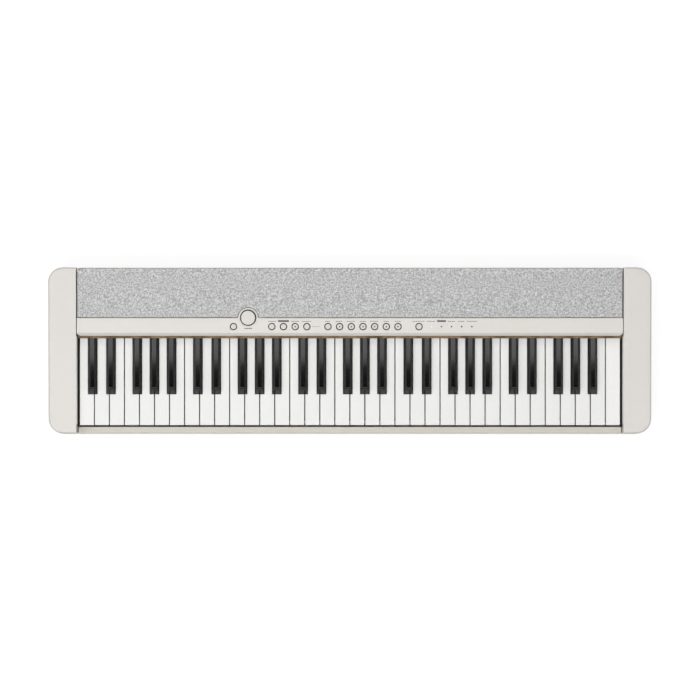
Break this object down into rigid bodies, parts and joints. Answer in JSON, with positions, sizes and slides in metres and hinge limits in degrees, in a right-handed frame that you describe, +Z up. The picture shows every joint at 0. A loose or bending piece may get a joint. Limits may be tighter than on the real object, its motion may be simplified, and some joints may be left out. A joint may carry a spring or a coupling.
{
  "type": "portable keyboard",
  "caption": "Portable keyboard with sprung piano-size keys, cloth-covered speaker deck, push buttons, volume knob, rear sockets and a battery bay underneath.",
  "frame": {"origin": "on the table surface under the middle of the bounding box", "axes": "+X along the keys from low notes to high notes, +Y from the player to the rear sockets, +Z up"},
  "size_m": [0.93, 0.259, 0.0913],
  "materials": {
    "cream_plastic": "fine satin moulding, slightly warm off-white",
    "white_key_plastic": "smooth semi-gloss",
    "black_key_plastic": "semi-gloss with soft bevels",
    "grey_frame_plastic": "plain moulding",
    "circuit_board": "green lacquer",
    "black_plastic": "plain moulding",
    "rubber": "matt",
    "bright_metal": "plated sheet",
    "grille_cloth": "grey woven melange cloth",
    "felt": "brown pressed felt",
    "clear_plastic": "frosted clear moulding",
    "speaker_metal": "dark grey paint",
    "speaker_paper": "pressed paper cone"
  },
  "bodies": {
    "case": {"lower_case": "cream_plastic", "upper_case": "cream_plastic", "left_end_block": "cream_plastic", "right_end_block": "cream_plastic", "front_rail": "cream_plastic", "speaker_grille": "black_plastic", "grille_cloth": "grille_cloth", "key_felt_strip": "felt", "foot_front_left": "rubber", "foot_rear_left": "rubber", "foot_front_right": "rubber", "foot_rear_right": "rubber", "key_frame": "grey_frame_plastic", "key_contact_board": "circuit_board", "contact_rubber_strip": "rubber", "indicator_light_pipe": "clear_plastic", "panel_board": "circuit_board", "volume_pot": "bright_metal", "speaker_left": "speaker_metal", "speaker_right": "speaker_metal", "speaker_cone_left": "speaker_paper", "speaker_cone_right": "speaker_paper", "battery_contacts_left": "bright_metal", "battery_contacts_right": "bright_metal", "main_board": "circuit_board", "pedal_jack": "black_plastic", "headphone_jack": "black_plastic", "dc_inlet": "black_plastic", "usb_port": "bright_metal"},
    "white_keys_cegb_1": {"white_keys_cegb_1": "white_key_plastic"},
    "white_keys_dfa_1": {"white_keys_dfa_1": "white_key_plastic"},
    "black_keys_1": {"black_keys_1": "black_key_plastic"},
    "white_keys_cegb_2": {"white_keys_cegb_2": "white_key_plastic"},
    "white_keys_dfa_2": {"white_keys_dfa_2": "white_key_plastic"},
    "black_keys_2": {"black_keys_2": "black_key_plastic"},
    "white_keys_cegb_3": {"white_keys_cegb_3": "white_key_plastic"},
    "white_keys_dfa_3": {"white_keys_dfa_3": "white_key_plastic"},
    "black_keys_3": {"black_keys_3": "black_key_plastic"},
    "white_keys_cegb_4": {"white_keys_cegb_4": "white_key_plastic"},
    "white_keys_dfa_4": {"white_keys_dfa_4": "white_key_plastic"},
    "black_keys_4": {"black_keys_4": "black_key_plastic"},
    "white_keys_cegb_5": {"white_keys_cegb_5": "white_key_plastic"},
    "white_keys_dfa_5": {"white_keys_dfa_5": "white_key_plastic"},
    "black_keys_5": {"black_keys_5": "black_key_plastic"},
    "white_key_top_c": {"white_key_top_c": "white_key_plastic"},
    "button_power": {"button_power": "cream_plastic"},
    "button_mode_1": {"button_mode_1": "cream_plastic"},
    "button_mode_2": {"button_mode_2": "cream_plastic"},
    "button_mode_3": {"button_mode_3": "cream_plastic"},
    "button_mode_4": {"button_mode_4": "cream_plastic"},
    "button_tone_1": {"button_tone_1": "cream_plastic"},
    "button_tone_2": {"button_tone_2": "cream_plastic"},
    "button_tone_3": {"button_tone_3": "cream_plastic"},
    "button_tone_4": {"button_tone_4": "cream_plastic"},
    "button_tone_5": {"button_tone_5": "cream_plastic"},
    "button_tone_6": {"button_tone_6": "cream_plastic"},
    "button_tone_7": {"button_tone_7": "cream_plastic"},
    "button_record": {"button_record": "cream_plastic"},
    "volume_knob": {"volume_knob": "cream_plastic"},
    "battery_cover": {"battery_cover": "cream_plastic"}
  },
  "joints": [
    {"name": "white_keys_cegb_1_press", "type": "hinge", "parent": "case", "child": "white_keys_cegb_1", "pos_m": [-0.33713, 0.0546, 0.05175], "axis": [1, 0, 0], "range_deg": [0, 2.75], "stiffness_Nm_per_rad": 3.32, "springref_deg": -5.1},
    {"name": "white_keys_dfa_1_press", "type": "hinge", "parent": "case", "child": "white_keys_dfa_1", "pos_m": [-0.33713, 0.0546, 0.05575], "axis": [1, 0, 0], "range_deg": [0, 2.75], "stiffness_Nm_per_rad": 2.49, "springref_deg": -5.1},
    {"name": "black_keys_1_press", "type": "hinge", "parent": "case", "child": "black_keys_1", "pos_m": [-0.33713, 0.0546, 0.05975], "axis": [1, 0, 0], "range_deg": [0, 2.75], "stiffness_Nm_per_rad": 4.15, "springref_deg": -5.1},
    {"name": "white_keys_cegb_2_press", "type": "hinge", "parent": "case", "child": "white_keys_cegb_2", "pos_m": [-0.17438, 0.0546, 0.05175], "axis": [1, 0, 0], "range_deg": [0, 2.75], "stiffness_Nm_per_rad": 3.32, "springref_deg": -5.1},
    {"name": "white_keys_dfa_2_press", "type": "hinge", "parent": "case", "child": "white_keys_dfa_2", "pos_m": [-0.17438, 0.0546, 0.05575], "axis": [1, 0, 0], "range_deg": [0, 2.75], "stiffness_Nm_per_rad": 2.49, "springref_deg": -5.1},
    {"name": "black_keys_2_press", "type": "hinge", "parent": "case", "child": "black_keys_2", "pos_m": [-0.17438, 0.0546, 0.05975], "axis": [1, 0, 0], "range_deg": [0, 2.75], "stiffness_Nm_per_rad": 4.15, "springref_deg": -5.1},
    {"name": "white_keys_cegb_3_press", "type": "hinge", "parent": "case", "child": "white_keys_cegb_3", "pos_m": [-0.01162, 0.0546, 0.05175], "axis": [1, 0, 0], "range_deg": [0, 2.75], "stiffness_Nm_per_rad": 3.32, "springref_deg": -5.1},
    {"name": "white_keys_dfa_3_press", "type": "hinge", "parent": "case", "child": "white_keys_dfa_3", "pos_m": [-0.01162, 0.0546, 0.05575], "axis": [1, 0, 0], "range_deg": [0, 2.75], "stiffness_Nm_per_rad": 2.49, "springref_deg": -5.1},
    {"name": "black_keys_3_press", "type": "hinge", "parent": "case", "child": "black_keys_3", "pos_m": [-0.01162, 0.0546, 0.05975], "axis": [1, 0, 0], "range_deg": [0, 2.75], "stiffness_Nm_per_rad": 4.15, "springref_deg": -5.1},
    {"name": "white_keys_cegb_4_press", "type": "hinge", "parent": "case", "child": "white_keys_cegb_4", "pos_m": [0.15113, 0.0546, 0.05175], "axis": [1, 0, 0], "range_deg": [0, 2.75], "stiffness_Nm_per_rad": 3.32, "springref_deg": -5.1},
    {"name": "white_keys_dfa_4_press", "type": "hinge", "parent": "case", "child": "white_keys_dfa_4", "pos_m": [0.15113, 0.0546, 0.05575], "axis": [1, 0, 0], "range_deg": [0, 2.75], "stiffness_Nm_per_rad": 2.49, "springref_deg": -5.1},
    {"name": "black_keys_4_press", "type": "hinge", "parent": "case", "child": "black_keys_4", "pos_m": [0.15113, 0.0546, 0.05975], "axis": [1, 0, 0], "range_deg": [0, 2.75], "stiffness_Nm_per_rad": 4.15, "springref_deg": -5.1},
    {"name": "white_keys_cegb_5_press", "type": "hinge", "parent": "case", "child": "white_keys_cegb_5", "pos_m": [0.31388, 0.0546, 0.05175], "axis": [1, 0, 0], "range_deg": [0, 2.75], "stiffness_Nm_per_rad": 3.32, "springref_deg": -5.1},
    {"name": "white_keys_dfa_5_press", "type": "hinge", "parent": "case", "child": "white_keys_dfa_5", "pos_m": [0.31388, 0.0546, 0.05575], "axis": [1, 0, 0], "range_deg": [0, 2.75], "stiffness_Nm_per_rad": 2.49, "springref_deg": -5.1},
    {"name": "black_keys_5_press", "type": "hinge", "parent": "case", "child": "black_keys_5", "pos_m": [0.31388, 0.0546, 0.05975], "axis": [1, 0, 0], "range_deg": [0, 2.75], "stiffness_Nm_per_rad": 4.15, "springref_deg": -5.1},
    {"name": "white_key_top_c_press", "type": "hinge", "parent": "case", "child": "white_key_top_c", "pos_m": [0.40687, 0.0546, 0.05175], "axis": [1, 0, 0], "range_deg": [0, 2.75], "stiffness_Nm_per_rad": 0.83, "springref_deg": -5.1},
    {"name": "button_power_press", "type": "slide", "parent": "case", "child": "button_power", "axis": [0, 0.0305, -0.9995], "range_m": [0, 0.001], "stiffness_N_per_m": 1000, "springref_m": -0.0005},
    {"name": "button_mode_1_press", "type": "slide", "parent": "case", "child": "button_mode_1", "axis": [0, 0.0305, -0.9995], "range_m": [0, 0.001], "stiffness_N_per_m": 1000, "springref_m": -0.0005},
    {"name": "button_mode_2_press", "type": "slide", "parent": "case", "child": "button_mode_2", "axis": [0, 0.0305, -0.9995], "range_m": [0, 0.001], "stiffness_N_per_m": 1000, "springref_m": -0.0005},
    {"name": "button_mode_3_press", "type": "slide", "parent": "case", "child": "button_mode_3", "axis": [0, 0.0305, -0.9995], "range_m": [0, 0.001], "stiffness_N_per_m": 1000, "springref_m": -0.0005},
    {"name": "button_mode_4_press", "type": "slide", "parent": "case", "child": "button_mode_4", "axis": [0, 0.0305, -0.9995], "range_m": [0, 0.001], "stiffness_N_per_m": 1000, "springref_m": -0.0005},
    {"name": "button_tone_1_press", "type": "slide", "parent": "case", "child": "button_tone_1", "axis": [0, 0.0305, -0.9995], "range_m": [0, 0.001], "stiffness_N_per_m": 1000, "springref_m": -0.0005},
    {"name": "button_tone_2_press", "type": "slide", "parent": "case", "child": "button_tone_2", "axis": [0, 0.0305, -0.9995], "range_m": [0, 0.001], "stiffness_N_per_m": 1000, "springref_m": -0.0005},
    {"name": "button_tone_3_press", "type": "slide", "parent": "case", "child": "button_tone_3", "axis": [0, 0.0305, -0.9995], "range_m": [0, 0.001], "stiffness_N_per_m": 1000, "springref_m": -0.0005},
    {"name": "button_tone_4_press", "type": "slide", "parent": "case", "child": "button_tone_4", "axis": [0, 0.0305, -0.9995], "range_m": [0, 0.001], "stiffness_N_per_m": 1000, "springref_m": -0.0005},
    {"name": "button_tone_5_press", "type": "slide", "parent": "case", "child": "button_tone_5", "axis": [0, 0.0305, -0.9995], "range_m": [0, 0.001], "stiffness_N_per_m": 1000, "springref_m": -0.0005},
    {"name": "button_tone_6_press", "type": "slide", "parent": "case", "child": "button_tone_6", "axis": [0, 0.0305, -0.9995], "range_m": [0, 0.001], "stiffness_N_per_m": 1000, "springref_m": -0.0005},
    {"name": "button_tone_7_press", "type": "slide", "parent": "case", "child": "button_tone_7", "axis": [0, 0.0305, -0.9995], "range_m": [0, 0.001], "stiffness_N_per_m": 1000, "springref_m": -0.0005},
    {"name": "button_record_press", "type": "slide", "parent": "case", "child": "button_record", "axis": [0, 0.0305, -0.9995], "range_m": [0, 0.001], "stiffness_N_per_m": 1000, "springref_m": -0.0005},
    {"name": "volume_knob_turn", "type": "hinge", "parent": "case", "child": "volume_knob", "pos_m": [-0.1568, 0.05089, 0.08385], "axis": [0, -0.0305, 0.9995], "range_deg": [-150, 150]},
    {"name": "battery_cover_open", "type": "hinge", "parent": "case", "child": "battery_cover", "pos_m": [0.118, 0.0691, 0.0061], "axis": [-1, 0, 0], "range_deg": [0, 100]}
  ]
}
